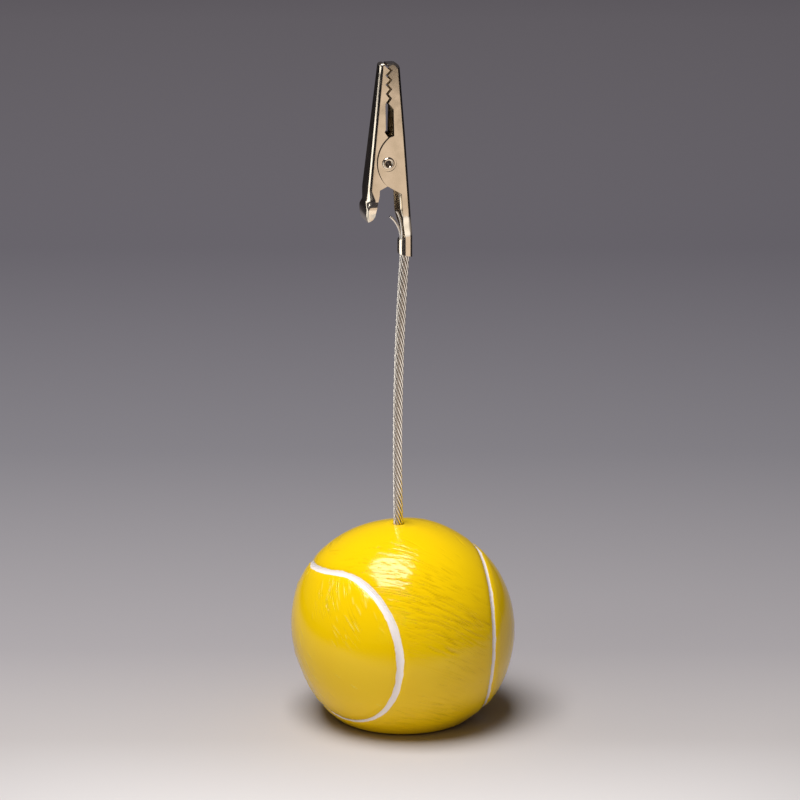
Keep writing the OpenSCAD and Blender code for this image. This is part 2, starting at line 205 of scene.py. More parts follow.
def soft_box(name, place, aim, side, width, height, watts, tint="#FFFFFF"):
    """A rectangular lamp at a place, facing a point. Its width lies along the part of the
    direction side that is square to its facing."""
    lamp = bpy.data.lights.new(name, "AREA")
    lamp.shape = "RECTANGLE"
    lamp.size, lamp.size_y = width, height
    lamp.energy, lamp.color = watts, linear(tint)[:3]
    made = bpy.data.objects.new(name, lamp)
    z = (place - aim) / np.linalg.norm(place - aim)
    x = side - (side @ z) * z
    x = x / np.linalg.norm(x)
    pose = np.eye(4)
    pose[:3] = np.stack([x, np.cross(z, x), z, place], axis=1)
    made.matrix_world = pose.T.tolist()
    made.visible_camera = False
    bpy.context.scene.collection.objects.link(made)
    return made


def around(turn, distance, height):
    """A place at an angle round Z from +X, in degrees, a level distance and a height."""
    turn = math.radians(turn)
    return np.array([distance * math.cos(turn), distance * math.sin(turn), height])


def level_across(turn):
    """The level direction across a lamp that stands at an angle round Z from +X, in degrees."""
    return around(turn + 90.0, 1.0, 0.0)


ball_middle = np.array([0, 0, 0.03])
overhead_distance, overhead_size = 0.7, 0.41
overhead_way = 0.425 * to_camera + 0.883 * camera_up - 0.194 * camera_right
soft_box("overhead_box", ball_middle + overhead_distance * overhead_way, ball_middle, camera_right,
         overhead_size, overhead_size, 6.0)
fill_turn = -118.0
ball_fill = soft_box("front_fill", around(fill_turn, 0.6, 0.2), ball_middle, level_across(fill_turn),
                     0.3, 0.3, 0.86)
ball_fill.visible_glossy = False
ball_only = bpy.data.collections.new("ball_only")
ball_fill.light_linking.receiver_collection = ball_only

# Each standing card: its angle, level distance and height, its width and height, watts and tint.
clip_middle = np.array([0, 0, 0.061])
cards = {"right_card": (-65.0, 0.16, 0.061, 0.115, 0.122, 0.037, "#FFECDA"),
         "left_card": (-174.0, 0.16, 0.061, 0.143, 0.122, 0.095, "#FFFFFF"),
         "left_panel": (165.0, 0.5, 0.22, 0.44, 0.2, 0.45, "#FFFFFF")}
metal_lamps = [soft_box(name, around(turn, distance, height), clip_middle, level_across(turn), *look)
               for name, (turn, distance, height, *look) in cards.items()]
low_front = around(math.degrees(camera_turn) - 90.0, 0.14, 0.003)
metal_lamps.append(soft_box("front_sheet", low_front, low_front + [0, 0, 1], camera_right,
                            0.2, 0.22, 0.088))
metal_pieces = bpy.data.collections.new("metal_pieces")
for lamp in metal_lamps:
    lamp.light_linking.receiver_collection = metal_pieces


# Ball base
# A solid cast of polyresin, carved while soft with short strokes that stand for felt, cut flat
# below, drilled for the strand, and painted in gloss yellow with the seam picked out in white.
ball_r, ball_centre, land_z = 22.5, 18.0, 40.3
rim_r = 3.0
bore_r, bore_floor, mouth_r = 1.05, 20.3, 1.35
bore_x, bore_shift_reach = -0.949, 7.0
seam_w, seam_depth = 1.7, 0.45
groove_lip_drop, groove_lip_w = 0.12, 0.55
columns, wall_rows, mouth_rows, sphere_rows, rim_rows = 480, 5, 5, 172, 9
first_row_r, foot_rows_r = 1.6, np.array([9.0, 5.0, 1.5])
stroke_count, stroke_limit, stroke_highest = 4200, 0.12, 0.96
stroke_length, stroke_w, stroke_depth = (2.2, 6.2), (0.19, 0.28), (0.03, 0.085)
plain_by_seam, plain_by_bore, plain_by_foot = (0.9, 0.8), (2.2, 2.0), (0.8, 2.5)


def unit(v):
    """Vectors along the last axis, each divided by its length."""
    return v / np.linalg.norm(v, axis=-1, keepdims=True)


def direction(turn, rise):
    """The unit vector at an angle round Z from +X and an angle above the level, in degrees."""
    turn, rise = np.radians(turn), np.radians(rise)
    return np.array([np.cos(rise) * np.cos(turn), np.cos(rise) * np.sin(turn), np.sin(rise)])


left_axis, left_cap = direction(-150.6, -0.3), math.radians(43.2)
right_axis, right_cap = direction(-1.6, -2.0), math.radians(49.8)
crown_cap, foot_cap = math.radians(47.0), math.radians(45.0)


def bridge_axis(cap, side):
    """The axis of the circle of half angle cap that touches both lobes' circles from outside:
    it makes the sum of the two half angles with each lobe's axis, above (1) or below (-1) them."""
    c = left_axis @ right_axis
    p, q = math.cos(left_cap + cap), math.cos(right_cap + cap)
    level = ((p - c * q) * left_axis + (q - c * p) * right_axis) / (1 - c * c)
    s = np.cross(left_axis, right_axis)
    return level + side * math.sqrt((1 - level @ level) / (s @ s)) * s


def touch(n, n_cap, m, m_cap):
    """The direction in which two circles on the ball touch."""
    return (math.sin(m_cap) * n + math.sin(n_cap) * m) / math.sin(n_cap + m_cap)


def seam_distance(n):
    """Distance in mm over the ball from each direction n to the seam. The seam is four arcs, each
    the long way round its circle between two points of touch."""
    crown_axis, foot_axis = bridge_axis(crown_cap, 1), bridge_axis(foot_cap, -1)
    crown_left = touch(crown_axis, crown_cap, left_axis, left_cap)
    crown_right = touch(crown_axis, crown_cap, right_axis, right_cap)
    foot_left = touch(foot_axis, foot_cap, left_axis, left_cap)
    foot_right = touch(foot_axis, foot_cap, right_axis, right_cap)
    nearest = np.full(n.shape[:-1], 9.0)
    for axis, cap, p, q in ((left_axis, left_cap, crown_left, foot_left),
                            (right_axis, right_cap, crown_right, foot_right),
                            (crown_axis, crown_cap, crown_left, crown_right),
                            (foot_axis, foot_cap, foot_left, foot_right)):
        middle = -unit(unit(p - (p @ axis) * axis) + unit(q - (q @ axis) * axis))
        beyond = np.arccos(np.clip(unit(p - (p @ axis) * axis) @ middle, -1, 1))
        on_circle = unit(n - (n @ axis)[..., None] * axis)
        on_arc = np.arccos(np.clip(on_circle @ middle, -1, 1)) <= beyond
        off = np.abs(np.arccos(np.clip(n @ axis, -1, 1)) - cap)
        to_ends = np.minimum(np.arccos(np.clip(n @ p, -1, 1)), np.arccos(np.clip(n @ q, -1, 1)))
        nearest = np.minimum(nearest, np.where(on_arc, off, to_ends))
    return nearest * ball_r


def in_lobes(n):
    """1 inside the panel of the two lobes and 0 inside the panel of the crown and the foot: the
    lobes' panel is the inside of either lobe's circle, and behind the ball what lies between."""
    lobe = np.maximum(n @ left_axis - math.cos(left_cap), n @ right_axis - math.cos(right_cap))
    crown = n @ bridge_axis(crown_cap, 1) > math.cos(crown_cap)
    foot = n @ bridge_axis(foot_cap, -1) > math.cos(foot_cap)
    return np.where(crown | foot, 0.0, np.where((lobe > 0) | (n[..., 1] > 0), 1.0, 0.0))


def seen(across, up):
    """The direction on the ball that the camera sees at an offset from its middle, in radii."""
    near = math.sqrt(max(1 - across ** 2 - up ** 2, 0))
    return across * camera_right + up * camera_up + near * to_camera


def swell(n, centre, spread):
    """A round swelling: 1 at its centre, falling off with the angle by a bell curve, in degrees."""
    return np.exp(-(np.degrees(np.arccos(np.clip(n @ unit(centre), -1, 1))) / spread) ** 2)


def uneven(n):
    """Height in mm of the cast's slow unevenness: a sum of round swellings and hollows on the
    outline that the camera sees. Each has its angle on the outline, its size and its spread."""
    swellings = ((150, 0.55, 24), (203, -0.42, 16), (324, 0.40, 18), (98, -0.2, 14), (57, -0.2, 14))
    height = 0.0
    for turn, size, spread in swellings:
        turn = math.radians(turn)
        height = height + size * swell(n, seen(math.cos(turn), math.sin(turn)), spread)
    return height


left_comb = 0.32 * camera_right + 0.46 * camera_up + 0.83 * to_camera
comb_dip = 0.19


def left_front(n):
    """True on the side of the left lobe that the camera sees."""
    return (n @ to_camera > 0.2) & (n @ left_axis > n @ right_axis)


def fur_axis(n):
    """The direction round which the strokes turn at each direction n: on the crown's and foot's
    panel they dip more and more to the right, on the left lobe's front they lean over to the
    right, and elsewhere on the lobes they are upright."""
    x = (n @ camera_right)[..., None]
    level = np.array([0.0, 0.0, 1.0]) + (comb_dip + x) * camera_right
    lobe = np.where(left_front(n)[..., None], left_comb, np.cross([0, 0, 1.0], n))
    return unit(np.where(in_lobes(n)[..., None] > 0.5, lobe, level))


def combed(n):
    """How closely the fur is carved, 0 to 1: in round patches, and bare between them. The first
    are where the camera sees them, each with its spread and its share, and the rest are behind."""
    patches = [(seen(-0.12, 0.5), 17, 1.0), (seen(0.2, 0.33), 20, 1.0), (seen(0.5, 0.05), 17, 0.9),
               (seen(0.05, -0.8), 12, 0.5), (seen(0.34, -0.72), 13, 0.8), (seen(0.5, -0.35), 15, 0.45),
               (seen(-0.65, 0.3), 9, 0.9), (seen(-0.48, 0.07), 8, 0.8)]
    draw = np.random.default_rng(3)
    for _ in range(22):
        centre = unit(draw.normal(size=3))
        spread, share = draw.uniform(12, 22), draw.uniform(0.5, 1.0)
        patches.append((centre, spread, share * (centre @ to_camera < 0.1)))
    return np.max([share * swell(n, centre, spread) for centre, spread, share in patches], axis=0)


def come_in(distance, plain, reach):
    """0 up to the plain distance, and from there evenly up to 1 over the reach."""
    return np.clip((distance - plain) / reach, 0, 1)


def carved(n, seam):
    """Height in mm of the carved strokes: each is a groove a few mm long, slightly bent, with a
    raised lip on both sides (a bell curve's second slope), along the combed direction. On the
    lobes it is turned over, into a shorter ridge between two grooves."""
    draw = np.random.default_rng(7)
    height = np.zeros(n.shape[:-1])
    for _ in range(stroke_count):
        c = unit(draw.normal(size=3))
        length, width = draw.uniform(*stroke_length), draw.uniform(*stroke_w)
        deep, turn = draw.uniform(*stroke_depth), math.radians(draw.normal(0, 7))
        bend = draw.normal(0, 0.02)
        if draw.uniform(0, 1) > max(combed(c), 0.03) or abs(c[2]) > stroke_highest:
            continue
        if in_lobes(c) > 0.5:
            length, deep = 0.7 * length, -1.2 * deep
        east = unit(np.cross(fur_axis(c), c))
        north = np.cross(c, east)
        along = math.cos(turn) * east + math.sin(turn) * north
        across = np.cross(c, along)
        near = np.abs(n - c).max(axis=-1) < (length / 2 + 1) / ball_r
        u, v = n[near] @ along * ball_r, n[near] @ across * ball_r
        q = ((v + bend * u * u) / width) ** 2
        height[near] -= deep * np.clip(1 - (2 * u / length) ** 2, 0, 1) * (1 - q) * np.exp(-q)
    return np.clip(height, -stroke_limit, stroke_limit) * come_in(seam, *plain_by_seam)


def ball_rows():
    """Radius and height of each row of the bare ball, from the bore's floor up its wall, over the
    mouth and the crown, down to the rounded rim and in across the flat underside."""
    edge = mouth_r - bore_r
    wall_z = np.linspace(bore_floor, land_z - edge, wall_rows)
    wall = np.stack([np.full(wall_rows, bore_r), wall_z], axis=-1)
    a = np.linspace(0, math.pi / 2, mouth_rows + 1)[1:]
    mouth = np.stack([mouth_r - edge * np.cos(a), land_z - edge + edge * np.sin(a)], axis=-1)
    rim_centre = np.array([math.sqrt((ball_r - rim_r) ** 2 - (ball_centre - rim_r) ** 2), rim_r])
    rim_start = math.atan2(rim_centre[0], rim_centre[1] - ball_centre)
    a = np.linspace(math.asin(first_row_r / ball_r), rim_start, sphere_rows)
    sphere = np.stack([ball_r * np.sin(a), ball_centre + ball_r * np.cos(a)], axis=-1)
    sphere[:, 1] = np.minimum(sphere[:, 1], land_z)
    a = np.linspace(rim_start, math.pi, rim_rows + 1)[1:]
    rim = rim_centre + rim_r * np.stack([np.sin(a), np.cos(a)], axis=-1)
    flat = np.stack([foot_rows_r, 0 * foot_rows_r], axis=-1)
    return np.vstack([wall, mouth, sphere, rim, flat])


# The columns stand closer on the camera's side. The bore is off the ball's middle, and the rows
# round it move back to the middle over bore_shift_reach.
rows = ball_rows()
crowding = 0.3
turn = np.linspace(0, 2 * math.pi, columns, endpoint=False)
turn = turn - crowding * np.sin(turn - math.atan2(to_camera[1], to_camera[0]))
shift = bore_x * np.clip(1 - (rows[:, 0] - mouth_r) / bore_shift_reach, 0, 1) ** 2
bore_rows = wall_rows + mouth_rows
shift[:bore_rows] = bore_x
shift[rows[:, 1] < ball_centre] = 0.0
x = shift[:, None] + rows[:, :1] * np.cos(turn)
y = rows[:, :1] * np.sin(turn)
row = np.arange(len(rows))
on_ball = (row >= bore_rows) & (row < bore_rows + sphere_rows)
height = np.repeat(rows[:, 1:], columns, axis=1)
crown = on_ball & (rows[:, 1] > ball_centre)
high = ball_centre + np.sqrt(np.maximum(ball_r ** 2 - x ** 2 - y ** 2, 0))
height[crown] = np.minimum(high[crown], land_z)
ball_grid = np.stack([x, y, height], axis=-1)
n = unit(ball_grid - np.array([0, 0, ball_centre]))
seam = seam_distance(n)
groove_r = (seam_depth ** 2 + (seam_w / 2) ** 2) / (2 * seam_depth)
groove = np.where(seam < seam_w / 2,
                  np.sqrt(np.maximum(groove_r ** 2 - seam ** 2, 0)) - (groove_r - seam_depth), 0)
beside = seam - seam_w / 2
rounded = groove_lip_drop * np.exp(-(np.maximum(beside, 0) / groove_lip_w) ** 2) * (beside >= 0)
strokes = carved(n, seam)
fade = come_in(rows[:, 0], *plain_by_bore) * come_in(rows[:, 1], *plain_by_foot) * on_ball
offset = fade[:, None] * (uneven(n) - groove - rounded + strokes)
ball_grid = ball_grid + offset[..., None] * n

# Gloss enamel brushed on cast resin: a clear mirror of the soft box over a deep warm yellow, broken
# by the strokes. Painted shade darkens the cuts and the fine hair lines, and a painted highlight
# lightens the ridges. The seam's white edge wanders as a brush does, and the hair between the
# strokes is drawn coarser than real, so that it shows. Their sizes are in mm.
wander, blotch, hair_w, hair_length, hair_depth = 2.4, 11.1, 0.281, 5.62, 7.5
paint, tree, output = new_material("gloss_enamel_on_resin")
distance = add(tree, "Attribute", {"attribute_name": "seam_mm"})
half_band = add(tree, "Attribute", {"attribute_name": "white_mm"})
stroke = add(tree, "Attribute", {"attribute_name": "stroke_mm"})
fur = add(tree, "Attribute", {"attribute_name": "fur"})
comb = add(tree, "Attribute", {"attribute_name": "combed"})
place = add(tree, "TexCoord")
wobble = add(tree, "TexNoise", None, {"Vector": place.outputs["Object"], "Scale": 1 / (wander * MM),
                                      "Detail": 3.0})
edge = add(tree, "Math", {"operation": "MULTIPLY_ADD"}, {0: wobble.outputs["Fac"], 1: 0.5,
                                                         2: half_band.outputs["Fac"]})
reach = add(tree, "Math", {"operation": "SUBTRACT"}, {0: edge.outputs[0], 1: distance.outputs["Fac"]})
white = add(tree, "MapRange", None, {"Value": reach.outputs[0], "From Min": -0.04, "From Max": 0.06})
patches = add(tree, "TexNoise", None, {"Vector": place.outputs["Object"], "Scale": 1 / (blotch * MM),
                                       "Detail": 4.0})
yellow = add(tree, "MixRGB", None, {"Fac": patches.outputs["Fac"], "Color1": linear("#FACB00"),
                                    "Color2": linear("#FFD504")})
hair = add(tree, "TexNoise", None, {"Vector": fur.outputs["Vector"], "Scale": 1.0, "Detail": 2.0,
                                    "Roughness": 0.5})
cut = add(tree, "MapRange", None, {"Value": hair.outputs["Fac"], "From Min": 0.45, "From Max": 0.37})
scratch = add(tree, "Math", {"operation": "MULTIPLY"}, {0: cut.outputs[0], 1: comb.outputs["Fac"]})
# Painted shade: the cuts, and the hair lines where the fur is combed, are darkened towards brown.
groove_painted_shade = add(tree, "MapRange", None, {"Value": stroke.outputs["Fac"], "From Min": -0.02,
                                         "From Max": -0.09, "To Max": 0.32})
hair_painted_shade = add(tree, "Math", {"operation": "MULTIPLY"}, {0: scratch.outputs[0], 1: 0.16})
tint = add(tree, "Math", {"operation": "MAXIMUM"}, {0: hair_painted_shade.outputs[0], 1: groove_painted_shade.outputs[0]})
shaded = add(tree, "MixRGB", None, {"Fac": tint.outputs[0], "Color1": yellow.outputs[0],
                                    "Color2": linear("#C09200")})
# Painted highlight: the lobes' ridges are lightened towards pale yellow.
ridge = add(tree, "MapRange", None, {"Value": stroke.outputs["Fac"], "From Min": 0.02,
                                     "From Max": 0.08, "To Max": 0.7})
ridge_painted_highlight = add(tree, "MixRGB", None, {"Fac": ridge.outputs[0], "Color1": shaded.outputs[0],
                                    "Color2": linear("#FFE860")})
colour = add(tree, "MixRGB", None, {"Fac": white.outputs[0], "Color1": ridge_painted_highlight.outputs[0],
                                    "Color2": linear("#FFF4EE")})
bump = add(tree, "Bump", {"invert": True}, {"Strength": 0.9, "Distance": 0.08 * MM,
                                            "Height": scratch.outputs[0]})
enamel = add(tree, "BsdfPrincipled", None, {"Base Color": colour.outputs[0], "Roughness": 0.11,
                                            "IOR": 1.45, "Normal": bump.outputs[0]})
tree.links.new(enamel.outputs[0], output.inputs["Surface"])

ball = surface("ball", ball_grid, "fan", paint)


def set_attribute(target, name, values, kind="FLOAT"):
    """One value for each grid point, and for the two middle points those of the end rows."""
    flat = values.reshape(-1, 3) if kind == "FLOAT_VECTOR" else values.reshape(-1)
    flat = np.concatenate([flat, flat[:1], flat[-1:]])
    layer = target.data.attributes.new(name, kind, "POINT")
    field = "vector" if kind == "FLOAT_VECTOR" else "value"
    layer.data.foreach_set(field, flat.astype(np.float32).ravel())


set_attribute(ball, "seam_mm", seam)
set_attribute(ball, "stroke_mm", strokes)
white_half = 0.34 + 0.24 * swell(n, seen(-0.05, 0.05), 34) - 0.22 * swell(n, seen(-0.45, -0.8), 24)
set_attribute(ball, "white_mm", white_half)
set_attribute(ball, "combed", combed(n))

# The hair's own coordinates, in hairs: along and across the direction in which the fur is combed.
x = n @ camera_right
round_z = np.arctan2(n[..., 1], n[..., 0]) * np.hypot(n[..., 0], n[..., 1])
across = np.where(in_lobes(n) > 0.5, np.where(left_front(n), n @ left_comb, round_z),
                  n[..., 2] + comb_dip * x + 0.5 * x ** 2)
along = np.where(in_lobes(n) > 0.5, n[..., 2], x)
hairs = ball_r * np.stack([along / hair_length, across / hair_w, n @ to_camera / hair_depth], axis=-1)
set_attribute(ball, "fur", hairs, "FLOAT_VECTOR")
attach(ball, "stand")
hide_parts("ball_base")
ball_only.objects.link(ball)


# Wire strand
# Twelve drawn steel wires of half a millimetre: three laid together as the core and nine laid
# round them with a left turn. The strand is glued into the ball, springs back into a slow bow,
# and is crimped at its top, where two of the outer wires stick out and spring away.
strand_free, lay = 55.2, 13.0
bow_x, bow_z, bow_r = -1.12, 54.5, 590.0
crown_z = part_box("ball_base")[1].z / MM
barrel_low = crown_z + strand_free
strand_foot, strand_top = (corner.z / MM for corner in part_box("core_wire_1"))

# Three wires round the middle and nine round them make a strand a little over four wires wide.
strand_d, strand_in_wires, wire_gap = 2.0, 4.155, 0.02
wire_d = strand_d / strand_in_wires
outer_at_wires, core_at_wires, core_thinner = 1.577, 0.54, 0.93
outer_at, core_at = outer_at_wires * wire_d, core_at_wires * wire_d
outer_r = wire_d / 2 - wire_gap / 2
core_r = core_thinner * outer_r
wire_sides, rings_in_turn, tail_rings = 14, 36, 24


def strand_x(z):
    """The strand's centre line: upright in the ball and in the barrel, a shallow parabola between."""
    return bow_x + (np.clip(z, crown_z, barrel_low) - bow_z) ** 2 / (2 * bow_r)


def wire_route(radius, start, tail=()):
    """A helix round the strand's centre line that turns once in each lay and reaches the angle
    start in degrees at the top, and then a tail: a curve that leaves along the first point given
    and ends at the second."""
    turns = (strand_top - strand_foot) / lay
    z = np.linspace(strand_foot, strand_top, int(turns * rings_in_turn))
    a = np.radians(start - 360 * (z - strand_top) / lay)
    route = np.stack([strand_x(z) + radius * np.cos(a), radius * np.sin(a), z], axis=-1)
    if len(tail):
        t = np.linspace(0, 1, tail_rings + 1)[1:, None]
        middle, end = np.array(tail)
        curve = (1 - t) ** 2 * route[-1] + 2 * t * (1 - t) * middle + t ** 2 * end
        route = np.vstack([route, curve])
    return route


def round_wire(name, route, radius, sides, material):
    """A tube of circles square to the route: each circle lies in the plane of two directions,
    one square to the route and to Y, and one square to both."""
    along = unit(np.gradient(route, axis=0))
    side = unit(np.cross(along, [0.0, 1.0, 0.0]))
    other = np.cross(along, side)
    a = np.linspace(0, 2 * math.pi, sides, endpoint=False)[None, :, None]
    circle = np.cos(a) * side[:, None] + np.sin(a) * other[:, None]
    return surface(name, route[:, None] + radius * circle, "fan", material)


# The smears' size in mm, and the scale of the drawn lines along Z, which makes them long.
smear, line_stretch = 2.86, 0.06


def steel(name, colour, roughness, grain, bump_depth):
    """Bare or plated steel: a metal whose shine is broken by drawn or rolled lines along Z, grain
    in mm apart, and by slow smears in its dulling. The real lines are finer than a tenth of this,
    and are drawn as coarse as they need to show."""
    material, tree, output = new_material(name)
    place = add(tree, "TexCoord")
    stretched = add(tree, "Mapping", None, {"Vector": place.outputs["Object"],
                                            "Scale": (1.0, 1.0, line_stretch)})
    lines = add(tree, "TexNoise", None, {"Vector": stretched.outputs[0], "Scale": 1 / (grain * MM),
                                         "Detail": 3.0})
    smears = add(tree, "TexNoise", None, {"Vector": place.outputs["Object"],
                                          "Scale": 1 / (smear * MM), "Detail": 4.0})
    dull = add(tree, "MapRange", None, {"Value": smears.outputs["Fac"], "From Min": 0.3,
                                        "From Max": 0.75, "To Min": roughness,
                                        "To Max": roughness + 0.12})
    bump = add(tree, "Bump", None, {"Strength": 0.35, "Distance": bump_depth * MM,
                                    "Height": lines.outputs["Fac"]})
    tint = add(tree, "MixRGB", None, {"Fac": smears.outputs["Fac"], "Color1": linear(colour[0]),
                                      "Color2": linear(colour[1])})
    metal = add(tree, "BsdfPrincipled", None, {"Base Color": tint.outputs[0], "Metallic": 1.0,
                                               "Roughness": dull.outputs[0],
                                               "Normal": bump.outputs[0]})
    tree.links.new(metal.outputs[0], output.inputs["Surface"])
    return material


# Steel wire drawn through a die and left bare: bright and a little soft, with lines along it, so
# that each wire shows one narrow streak of light.
drawn_wire = steel("bright_drawn_steel", ("#E6DED4", "#D2C9BC"), 0.16, 0.12, 0.004)

# The wires with a loose end: the point that each heads for above the barrel, and where it stops.
tails = {1: ((-0.75, -0.1, 102.1), (-2.76, -0.3, 103.8)),
         2: ((-0.35, -0.6, 103.2), (-1.6, -0.8, 105.0))}
for i in range(1, 10):
    wire = round_wire(f"strand_outer_{i}", wire_route(outer_at, 180 + 40 * (i - 1), tails.get(i, ())),
                      outer_r, wire_sides, drawn_wire)
    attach(wire, "stand")
    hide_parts(f"outer_wire_{i}")
    metal_pieces.objects.link(wire)
for i in range(1, 4):
    wire = round_wire(f"strand_core_{i}", wire_route(core_at, 120 * i), core_r, wire_sides, drawn_wire)
    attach(wire, "stand")
    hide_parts(f"core_wire_{i}")
    metal_pieces.objects.link(wire)


# Fixed jaw
# Half of the clip: one piece of thin steel, stamped, folded into a channel, toothed at its nose,
# with two round ears that hold the rivet and a tail that narrows to a barrel crimped on the strand.
# It is nickel plated after stamping.
pivot = np.array(frame["joints"][0]["pos_m"]) / MM
sheet_t, fold_r, fold_steps, wall_steps = 0.35, 0.8, 10, 10
jaw_up, nose_w, flare, ear_gap = 19.6, 2.75, 0.1, 0.1
nose_split, nose_corner, nose_fold, nose_tip_fold, nose_r = -0.05, 0.45, 0.5, 0.4, 1.3
tooth_top, tooth_pitch, tooth_gap = 18.25, 1.83, 0.54
tooth_left, tooth_right, tooth_fade = 0.02, 0.98, 0.04
tooth_corners = np.arange(8)
slot_top, slot_mid, slot_right, slot_low_right, slot_left = 10.6, 8.2, 1.27, 0.3, -0.32
ear_r, ear_centre, ear_top, ear_low, ear_end = 6.4, 4.28, 5.05, -4.5, -6.25
right_back_at_pivot, right_lean = 3.95, 0.0577
tail_bend, tail_wall = -8.5, 1.7
neck_top, neck_low, neck_steps, neck_ease = -10.7, -15.4, 17, 0.35
barrel_d, barrel_at, barrel_len, barrel_fold = 2.78, 4.065, 4.25, 0.75
wing_start, wing_gap = math.radians(10), 0.04
seat_r, seat_depth, shank_r = 1.65, 0.09, 0.9
seat_y = (nose_w + flare * jaw_up) / 2 + sheet_t + ear_gap - seat_depth
broken_edge, drill_y = 0.09, 6.0


def smooth(t):
    """Eases from 0 to 1: three t squared less two t cubed."""
    return t * t * (3 - 2 * t)


def mix(a, b, t):
    """The value that lies the share t of the way from a to b."""
    return a + (b - a) * t


def inner_width(z):
    """Width over the moving jaw's walls, which grows evenly down from the nose."""
    return nose_w + flare * (jaw_up - z)


def outer_width(z):
    """Width over the fixed jaw's walls: it clears the moving jaw below the ears' tops, and above
    them it tapers to the same nose."""
    at_ears = inner_width(ear_top) + 2 * (sheet_t + ear_gap)
    return np.where(z < ear_top, inner_width(z) + 2 * (sheet_t + ear_gap),
                    mix(nose_w, at_ears, (jaw_up - z) / (jaw_up - ear_top)))


def tooth_mid(k):
    """Middle of the gap between the rows of teeth at corner k of the zigzag, from the nose down."""
    return np.where(k % 2 == 0, tooth_right - tooth_fade * k, tooth_left)


def stations(z, back, edge, width, fold=None, curl=0.0, edge_z=None, edge_width=None):
    """Rows of a folded sheet: outer back point, end of the wall, widths at both, fold radius and
    the angle in radians that the wall curls on beyond its end."""
    fold = fold_r if fold is None else fold
    edge_z = z if edge_z is None else edge_z
    edge_width = width if edge_width is None else edge_width
    return np.stack(np.broadcast_arrays(back, z, edge, edge_z, width, edge_width, fold, curl), axis=-1)


def folded_sheet(name, rows, material):
    """A sheet folded into a channel. Each row's section runs square in from the outer back point
    to the end of the wall: a flat back, a quarter circle, a straight wall, and past its end an arc.
    The inside is the same with every radius less by the sheet's thickness."""
    back, edge = rows[:, 0:2], rows[:, 2:4]
    w_back, w_edge, r, curl = (rows[:, k, None] for k in range(4, 8))
    depth = np.linalg.norm(edge - back, axis=1)[:, None]
    curl_r = w_edge / 2 - 0.02
    s = (depth - r + curl_r * curl) * np.linspace(1, 0, wall_steps + 1)[None, :-1]
    past = np.maximum(s - (depth - r), 0) / curl_r
    a = np.linspace(0, math.pi / 2, fold_steps + 1)[None]
    faces = []
    for face in (0.0, sheet_t):
        wall_d = np.where(past > 0, depth + (curl_r - face) * np.sin(past), r + s)
        wall_y = np.where(past > 0, w_edge / 2 - curl_r + (curl_r - face) * np.cos(past),
                          mix(w_back, w_edge, (r + s) / depth) / 2 - face)
        fold_d = r - (r - face) * np.sin(a)
        fold_y = mix(w_back, w_edge, r / depth) / 2 - r + (r - face) * np.cos(a)
        half_d, half_y = np.hstack([wall_d, fold_d]), np.hstack([wall_y, fold_y])
        faces.append(np.stack([np.hstack([half_d, half_d[:, ::-1]]),
                               np.hstack([-half_y, half_y[:, ::-1]])], axis=-1))
    loop = np.concatenate([faces[0], faces[1][:, ::-1]], axis=1)
    inward = (edge - back) / depth
    x = back[:, 0, None] + loop[..., 0] * inward[:, 0, None]
    z = back[:, 1, None] + loop[..., 0] * inward[:, 1, None]
    return surface(name, pivot + np.stack([x, loop[..., 1], z], axis=-1), "strip", material)


def drum(name, radius, y_low, y_high, sides=64):
    """A plain cylinder about the pivot's axis, used to cut holes."""
    a = np.linspace(0, 2 * math.pi, sides, endpoint=False)
    ring = np.stack([radius * np.cos(a), 0 * a, radius * np.sin(a)], axis=-1)
    grid = pivot + np.stack([ring + [0, y_low, 0], ring + [0, y_high, 0]])
    return surface(name, grid, "fan", nickel)


def cut_and_break_edges(target, cutters, edge):
    """Takes the cutters out of a sheet piece, and rounds its sharp edges by a few hundredths of a
    millimetre, as tumbling before plating does."""
    for cutter in cutters:
        step = target.modifiers.new("cut", "BOOLEAN")
        step.operation, step.solver, step.object = "DIFFERENCE", "EXACT", cutter
    made = bpy.data.meshes.new_from_object(target.evaluated_get(bpy.context.evaluated_depsgraph_get()))
    target.modifiers.clear()
    target.data = made
    for cutter in cutters:
        bpy.data.objects.remove(cutter)
    made.set_sharp_from_angle(angle=math.radians(32))
    rounding = target.modifiers.new("broken_edges", "BEVEL")
    rounding.width, rounding.segments, rounding.limit_method = edge * MM, 2, "ANGLE"
    rounding.angle_limit, rounding.harden_normals = math.radians(40), True


def right_back(z):
    """The fixed jaw's straight back, which leans in towards the nose."""
    return right_back_at_pivot - right_lean * z


# Nickel plated on tumbled sheet steel: a warm, nearly clear mirror with faint smears, which shows
# the cards as pale bands and the room as black ones.
nickel = steel("bright_nickel_plate", ("#EEE2D0", "#CFC2AA"), 0.1, 0.25, 0.002)

# The nose, from the top of its round corner to the first tooth, and the teeth.
a = np.linspace(0, math.pi / 2, 10)
t = np.linspace(0, 1, 11)[1:]
nose_back = np.array([right_back(jaw_up - nose_r) - nose_r, jaw_up - nose_r])
nose_edge = np.array([nose_split + tooth_gap / 2, jaw_up - nose_corner])
first_tooth = np.array([tooth_mid(0) + tooth_gap / 2, tooth_top])
back_x, back_z = nose_back[0] + nose_r * np.sin(a), nose_back[1] + nose_r * np.cos(a)
edge_x, edge_z = mix(nose_edge[0], first_tooth[0], t), mix(nose_edge[1], first_tooth[1], t)
corner_z = tooth_top - tooth_corners[1:] * tooth_pitch / 2
corner_x = tooth_mid(tooth_corners[1:])

# The slot below the teeth, the round ear, and the straight run down to the tail's wall.
slot_z = np.array([slot_top, slot_mid, ear_top + 0.3, ear_top + 0.02])
slot_x = np.array([slot_right, slot_right, slot_right, slot_low_right])
ear_z = ear_r * np.sin(np.linspace(math.asin(ear_top / ear_r), math.asin(ear_low / ear_r), 26))
ear_x = ear_centre - np.sqrt(ear_r ** 2 - ear_z ** 2)
t = np.linspace(0, 1, 5)[1:]
below_z = mix(ear_low, ear_end, t)
below_x = mix(ear_x[-1], right_back(below_z) - tail_wall, t)
tail_z = np.array([tail_bend, neck_top])

